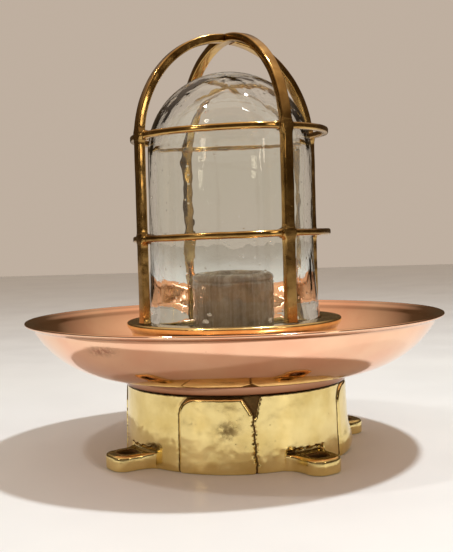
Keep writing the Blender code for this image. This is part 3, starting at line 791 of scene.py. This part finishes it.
def base_radius(deg, z):
    """Radius of the cast wall, its mask of painted shade and darker grooves, and its stain."""
    r = 53.5 + 0.9 * np.clip(1 - z / 33.0, 0, 1) - 0.9 * np.exp(-z / 0.6)
    shade_and_oxide = np.zeros_like(r)
    for k, centre in enumerate(BOSS_ANGLES):
        delta = (deg - centre + 180) % 360 - 180
        s = np.radians(delta) * WALL_R
        near = smooth_step(-np.abs(s), -27, -24)
        d = panel_distance(s if k % 2 == 0 else s * 1.02 + 0.3, z)
        inside = smooth_step(-d, -0.4, 1.6)
        r += near * (0.55 * inside)
        groove = np.exp(-(d / 0.75) ** 2)
        r -= near * 0.6 * groove
        facet_edge = 18.1 + 2.5 * (z - 24.5) / 9.4 - s
        corner = near * smooth_step(d, 0.0, 0.7) * smooth_step(facet_edge, 0.0, 0.6)
        corner = corner * smooth_step(z, 23.6, 25.0) * smooth_step(s, 4.0, 6.0)
        r -= 0.9 * corner
        # Darker along each panel's outline groove and in its cut corner.
        width = 0.42 + 0.2 * smooth_step(s, 0, 6)
        shade_and_oxide += near * (0.95 * np.exp(-(d / width) ** 2) + 0.85 * corner)
        if k == 1:
            r += 1.9 * np.exp(-(s / 15.0) ** 4) * np.exp(-((z - 5.5) / 6.5) ** 2)
    for centre in LUG_ANGLES:
        delta = (deg - centre + 180) % 360 - 180
        s = np.radians(delta) * WALL_R
        deep = 1.0 if centre == -55.0 else 0.35
        lid = 9.1 + 0.35 * np.sin(1.1 * s + centre) + 0.2 * np.sin(2.7 * s)
        pocket = smooth_step(-np.abs(s), -10.8, -10.0) * smooth_step(z, 6.6, 7.2)
        pocket = pocket * smooth_step(lid - z, -0.1, 0.5)
        r = r - 1.9 * deep * pocket
        # Painted shade along the line where the lug top meets the wall and in the lug pocket, deeper on
        # one side.
        edge = smooth_step(-np.abs(s), -12.0, -10.0) * np.exp(-((z - lid) / 0.45) ** 2)
        shade_and_oxide += 0.95 * edge + 0.4 * deep * pocket + 0.5 * deep * pocket * smooth_step(-s, 4.0, 7.0)
    # Painted shadow: a dark band under the overhanging top plate.
    top = np.exp(-((z - 34.2) / 0.8) ** 2)
    shade_and_oxide += 0.75 * top
    stain = np.exp(-(((deg + 94.5) / 4.5) ** 2 + ((z - 19.5) / 3.6) ** 2))
    return r, np.clip(shade_and_oxide, 0, 1), np.clip(stain, 0, 1)


def base_wall_rows(angles):
    edge = np.linspace(0.0, 1.2, 6)
    side = np.linspace(1.7, 33.0, 84)
    shoulder = np.linspace(33.3, BASE_TOP - 0.35, 4)
    heights = np.concatenate([edge, side, shoulder])
    deg = np.degrees(angles)[None, :] * np.ones((len(heights), 1))
    z = heights[:, None] * np.ones_like(deg)
    r, shade_and_oxide, stain = base_radius(deg, z)
    spots = np.stack([r * np.cos(np.radians(deg)), r * np.sin(np.radians(deg)), z], axis=-1)
    rough = wave_noise(spots, 9.0, 1.0) * 0.16 + wave_noise(spots, 2.8, 2.0) * 0.05
    r = r + rough + 0.25 * shade_and_oxide * wave_noise(spots, 1.3, 3.0)
    points = np.stack([r * np.cos(np.radians(deg)), r * np.sin(np.radians(deg)), z], axis=-1)
    return points, shade_and_oxide, stain


def make_base(mat):
    segments = 640
    angles = np.linspace(-math.pi, math.pi, segments, endpoint=False)
    wall, shade_and_oxide, stain = base_wall_rows(angles)
    rest = [(52.2, BASE_TOP), (NECK_R + 0.6, BASE_TOP), (NECK_R, BASE_TOP + 0.6), (NECK_R, 44.0)]
    z = THREAD_FIRST
    while z < THREAD_LAST:
        rest += [(NECK_R, z), (NECK_R - 0.7, z + 0.9), (NECK_R - 0.7, z + 1.1)]
        z += PITCH
    rest += [
        (NECK_R, z), (NECK_R, NECK_TOP - 0.7), (NECK_R - 0.7, NECK_TOP),
        (NECK_BORE_R + 0.5, NECK_TOP), (NECK_BORE_R, NECK_TOP - 0.5),
        (NECK_BORE_R, BASE_TOP + 1.0), (NECK_BORE_R - 1.0, BASE_TOP), (24.6, BASE_TOP),
        (24.0, BASE_TOP - 0.6), (24.0, 30.6),
        (24.6, 30.0), (CAVITY_R - 1.4, 30.0), (CAVITY_R, 28.6), (CAVITY_R, 0.8), (CAVITY_R + 0.8, 0.0),
    ]
    rings = []
    for r, z in rest:
        level = np.full_like(angles, z)
        rings.append(np.stack([r * np.cos(angles), r * np.sin(angles), level], axis=-1))
    points = np.concatenate([wall, np.array(rings)])
    faces = grid_faces(len(points), segments, True, True)
    lines = len(rest)
    dark = np.concatenate([shade_and_oxide, np.full((lines, segments), 0.0)])
    marks = np.concatenate([stain, np.zeros((lines, segments))])
    obj = mesh_object("base_cast_wall", points.reshape(-1, 3), faces)
    outward(obj)
    set_attribute(obj, "shade_and_oxide", dark)
    set_attribute(obj, "stain", marks)
    for x, y, top in DECK_SCREWS:
        cut_with(obj, rod_object("cutter_hole", x, y, 29.0, top, 1.9))
    obj.data.set_sharp_from_angle(angle=math.radians(62))
    for k, angle in enumerate(LUG_ANGLES):
        lug = make_lug(f"base_lug_{k + 1}", angle, k)
        lug.data.materials.append(mat)
        join_into(obj, lug)
    finish_piece(obj, "base", ["base_casting"], mat)


def rod_object(name, x, y, z0, z1, radius, sides=48):
    a = np.linspace(0, 2 * np.pi, sides, endpoint=False) + 0.01
    ring = np.stack([x + radius * np.cos(a), y + radius * np.sin(a)], axis=-1)
    points = [(p[0], p[1], z) for z in (z0, z1) for p in ring]
    faces = grid_faces(2, sides, False, True)
    faces.append(tuple(reversed(range(sides))))
    faces.append(tuple(range(sides, 2 * sides)))
    obj = mesh_object(name, points, faces)
    outward(obj)
    return obj


def lug_outline(t):
    """Half width of a lug at a distance t from the axis."""
    root = 4.2 * math.exp(-max(t - 52.0, 0.0) / 2.6)
    return 8.4 + root


def make_lug(name, angle, seed):
    """Lug as rings of a rounded plate round its hole."""
    outline = []
    for t in np.linspace(49.0, 64.2, 18):
        outline.append((t, lug_outline(t)))
    outline += polar((64.6, 2.1), 6.3, 84, 2, 10)
    outline += [(x, -y) for x, y in outline[::-1]]
    line = np.array(outline)
    hole = np.array([LUG_HOLE_AT, 0.0])
    away = line - hole
    length = np.hypot(away[:, 0], away[:, 1])[:, None]
    unit = away / length
    levels = []
    thick = LUG_THICK
    edge = ((0.9, 0.0), (0.25, 0.25), (0.0, 0.9), (0.0, thick - 1.2), (0.3, thick - 0.4), (1.1, thick))
    for inset, z in edge:
        levels.append((line - unit * inset, z))
    for share in (0.25, 0.5, 0.75):
        inner = hole + unit * (LUG_HOLE_R + 0.9)
        outer = line - unit * 1.1
        levels.append((outer * (1 - share) + inner * share, thick - 0.12 * math.sin(math.pi * share)))
    levels.append((hole + unit * (LUG_HOLE_R + 0.6), thick))
    levels.append((hole + unit * (LUG_HOLE_R + 0.1), thick - 0.35))
    levels.append((hole + unit * LUG_HOLE_R, thick - 0.9))
    levels.append((hole + unit * LUG_HOLE_R, 0.5))
    levels.append((hole + unit * (LUG_HOLE_R + 0.4), 0.0))
    points = []
    turn = math.radians(angle)
    for flat, z in levels:
        x = flat[:, 0] * math.cos(turn) - flat[:, 1] * math.sin(turn)
        y = flat[:, 0] * math.sin(turn) + flat[:, 1] * math.cos(turn)
        points.append(np.stack([x, y, np.full_like(x, z)], axis=-1))
    points = np.array(points)
    bumps = wave_noise(points, 4.0, 4.0 + seed) * 0.16
    grow = 1 + bumps * 0.004
    points[..., 0] *= grow
    points[..., 1] *= grow
    points[..., 2] += np.where(points[..., 2] > 3, bumps - 0.16, 0.0)
    rows, cols = points.shape[:2]
    obj = mesh_object(name, points.reshape(-1, 3), grid_faces(rows, cols, True, True))
    outward(obj)
    r = np.hypot(points[..., 0], points[..., 1])
    flat_top = (points[..., 2] > LUG_THICK - 0.8)
    mottle = 0.08 + 0.25 * wave_noise(points, 5.0, 9.0 + seed)
    # Painted shade on the lug top near the wall, over an uneven darker mottle.
    shade_and_oxide = (0.6 * np.exp(-np.maximum(r - 53.2, 0) / 2.2) + mottle) * flat_top
    # Painted shade: the rim and wall of the fixing hole are darkened throughout.
    shade_and_oxide += 1.0 * np.isin(np.arange(rows), [9, 10, 11, 12])[:, None]
    set_attribute(obj, "shade_and_oxide", np.clip(shade_and_oxide, 0, 1))
    set_attribute(obj, "stain", np.zeros(rows * cols))
    return obj


def join_into(target, other):
    """Add another object's mesh to the target's."""
    both = [target, other]
    with bpy.context.temp_override(
        active_object=target, selected_objects=both, selected_editable_objects=both,
    ):
        bpy.ops.object.join()


# ---------------------------------------------------------------- carried-over CAD nodes

def dress_nodes(finishes):
    for node, mat in finishes.items():
        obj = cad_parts[node]
        for slot in obj.material_slots:
            slot.material = mat


# ---------------------------------------------------------------- stage, light, camera

def make_floor():
    s = Shader("floor_pale")
    colour = s.blend(s.remap(s.noise(160.0, 5), 0.35, 0.75), (0.86, 0.87, 0.87), (0.82, 0.83, 0.84))
    mat = s.finish(colour, s.remap(s.noise(60.0, 3), 0.3, 0.7, 0.42, 0.5), 0.0)
    size = 3000.0
    corners = [(-size, -size, -0.05), (size, -size, -0.05), (size, size, -0.05), (-size, size, -0.05)]
    floor = mesh_object("floor", corners, [(0, 1, 2, 3)])
    floor.data.materials.append(mat)


def add_light(name, place, target, size, power, colour):
    data = bpy.data.lights.new(name, "AREA")
    data.shape = "DISK"
    data.size = size
    data.energy = power
    data.color = colour
    obj = bpy.data.objects.new(name, data)
    bpy.context.scene.collection.objects.link(obj)
    obj.location = place
    obj.rotation_euler = (Vector(target) - Vector(place)).to_track_quat("-Z", "Y").to_euler()
    return obj


def make_world():
    """Warm pale surroundings; reflections see a dimmer room that brightens overhead."""
    world = bpy.data.worlds.new("studio")
    world.use_nodes = True
    tree = world.node_tree
    out = tree.nodes["World Output"]
    pale = tree.nodes["Background"]
    pale.inputs["Color"].default_value = (0.52, 0.43, 0.35, 1.0)
    pale.inputs["Strength"].default_value = 1.0
    coords = tree.nodes.new("ShaderNodeTexCoord")
    split = tree.nodes.new("ShaderNodeSeparateXYZ")
    tree.links.new(coords.outputs["Generated"], split.inputs[0])
    ramp = tree.nodes.new("ShaderNodeValToRGB")
    tree.links.new(split.outputs[2], ramp.inputs["Fac"])
    stops = ramp.color_ramp.elements
    stops[0].position = 0.0
    stops[0].color = (0.06, 0.04, 0.02, 1.0)
    stops[1].position = 1.0
    stops[1].color = (1.05, 0.80, 0.60, 1.0)
    middle = stops.new(0.35)
    middle.color = (0.085, 0.055, 0.03, 1.0)
    room = tree.nodes.new("ShaderNodeBackground")
    tree.links.new(ramp.outputs["Color"], room.inputs["Color"])
    path = tree.nodes.new("ShaderNodeLightPath")
    mix = tree.nodes.new("ShaderNodeMixShader")
    through = tree.nodes.new("ShaderNodeMath")
    through.operation = "SUBTRACT"
    through.use_clamp = True
    tree.links.new(path.outputs["Is Glossy Ray"], through.inputs[0])
    tree.links.new(path.outputs["Is Transmission Ray"], through.inputs[1])
    tree.links.new(through.outputs[0], mix.inputs["Fac"])
    tree.links.new(pale.outputs[0], mix.inputs[1])
    tree.links.new(room.outputs[0], mix.inputs[2])
    tree.links.new(mix.outputs[0], out.inputs["Surface"])
    bpy.context.scene.world = world


def make_light():
    middle = (0.0, 0.0, 0.06)
    add_light("key_left", (-0.44, -0.30, 1.05), middle, 0.08, 1.9, (1.0, 0.96, 0.92))
    add_light("key_right", (0.28, -0.04, 1.02), middle, 0.07, 7.4, (0.94, 0.99, 1.0))
    add_light("front_left", (-0.62, -0.80, 0.34), middle, 0.16, 0.35, (1.0, 0.86, 0.66))
    add_light("front_right", (0.70, -0.62, 0.30), middle, 0.14, 0.3, (1.0, 0.86, 0.66))


def make_camera():
    """Camera at the viewing angle: a little above the rim, turned and rolled slightly."""
    distance = 0.4249
    height = 0.1004
    pan = -0.0075
    tilt = 0.0359
    roll = -0.0282
    forward = Vector((math.sin(pan) * math.cos(tilt), math.cos(pan) * math.cos(tilt), -math.sin(tilt)))
    right = forward.cross(Vector((0, 0, 1))).normalized()
    up = right.cross(forward)
    right_rolled = math.cos(roll) * right + math.sin(roll) * up
    up_rolled = -math.sin(roll) * right + math.cos(roll) * up
    data = bpy.data.cameras.new("camera")
    data.sensor_width = 36.0
    data.lens = 55.9
    camera = bpy.data.objects.new("camera", data)
    axes = Matrix((right_rolled, up_rolled, -forward)).transposed().to_4x4()
    camera.matrix_world = Matrix.Translation((0.0, -distance, height)) @ axes
    bpy.context.scene.collection.objects.link(camera)
    bpy.context.scene.camera = camera


# ---------------------------------------------------------------- build

def build():
    bpy.context.scene.view_settings.view_transform = "Standard"
    make_camera()
    make_world()
    make_light()
    make_floor()

    # Dark colour for real stains, pits and the painted shade on the base.
    brass_stain_and_shade = (0.16, 0.095, 0.035)
    base_brass = cast_brass(
        "base_brass_cast", (0.90, 0.73, 0.33), (0.76, 0.58, 0.22), brass_stain_and_shade, True, 0.3, 0.10)
    # The guard's tones are darker than the base's: partly a browner cast brass, partly painted shade for
    # its dark reflections; its dark marks carry painted shade too.
    cage_brass = cast_brass(
        "guard_brass_cast", (0.58, 0.37, 0.13), (0.30, 0.17, 0.05), (0.10, 0.05, 0.015), True, 0.22, 0.10)
    collar_brass = turned_brass("collar_brass_turned", (0.93, 0.72, 0.34), (0.84, 0.60, 0.25))
    copper = spun_copper("copper_spun")
    glass = seedy_glass("globe_glass_clear")
    porcelain = glazed_porcelain("porcelain_glazed")
    rubber = plain_surface("rubber_black", (0.03, 0.03, 0.03), (0.05, 0.048, 0.045), 0.7, 2.0, 0.0, 0.05)
    contact = plain_surface(
        "contact_brass_stamped", (0.85, 0.64, 0.30), (0.72, 0.50, 0.20), 0.22, 2.5, 1.0, 0.01)
    steel = plain_surface(
        "zinc_steel_plated", (0.66, 0.66, 0.65), (0.54, 0.55, 0.56), 0.3, 1.5, 1.0, 0.01)
    wire = plain_surface("spring_wire", (0.62, 0.62, 0.62), (0.50, 0.50, 0.50), 0.25, 1.0, 1.0, 0.01)
    block = plain_surface("block_moulded", (0.80, 0.78, 0.70), (0.74, 0.72, 0.63), 0.45, 4.0, 0.0, 0.04)
    brown = plain_surface("lead_brown", (0.22, 0.09, 0.04), (0.16, 0.06, 0.03), 0.4, 3.0, 0.0, 0.03)
    blue = plain_surface("lead_blue", (0.04, 0.13, 0.42), (0.03, 0.09, 0.32), 0.4, 3.0, 0.0, 0.03)
    green = plain_surface("lead_green", (0.10, 0.38, 0.09), (0.45, 0.42, 0.05), 0.4, 6.0, 0.0, 0.03)

    make_base(base_brass)
    make_shade(copper)
    make_collar(collar_brass)
    side = hoop_path(1e-4)
    other = [((-o[0], o[1]), (-i[0], i[1])) for o, i in side[:-1]][::-1]
    make_bar("guard_hoop", "cage_hoop", HOOP_ANGLE, side + other, 1.0, cage_brass)
    half = hoop_path(HALF_HOOP_END)
    make_bar("guard_half_hoop_left", "cage_half_hoop_left", HOOP_ANGLE - 90, half, 2.0, cage_brass)
    make_bar("guard_half_hoop_right", "cage_half_hoop_right", HOOP_ANGLE + 90, half, 3.0, cage_brass)
    make_ring("guard_ring_upper", "cage_ring_upper", 1.3, cage_brass)
    make_ring("guard_ring_lower", "cage_ring_lower", 4.1, cage_brass)
    make_globe(glass)
    make_holder(porcelain)
    make_shell(contact)
    dress_nodes({
        "shade_washer_lower": rubber, "shade_washer_upper": rubber, "globe_gasket": rubber,
        "centre_contact": contact, "contact_spring": wire, "holder_bracket": steel,
        "holder_screw_1": steel, "holder_screw_2": steel, "bracket_screw_1": steel,
        "bracket_screw_2": steel, "terminal_screw_live": contact, "terminal_screw_neutral": contact,
        "terminal_block": block, "block_screw": steel, "earth_screw": contact,
        "lead_live": brown, "lead_neutral": blue, "lead_earth": green,
    })


build()
bpy.context.view_layer.update()
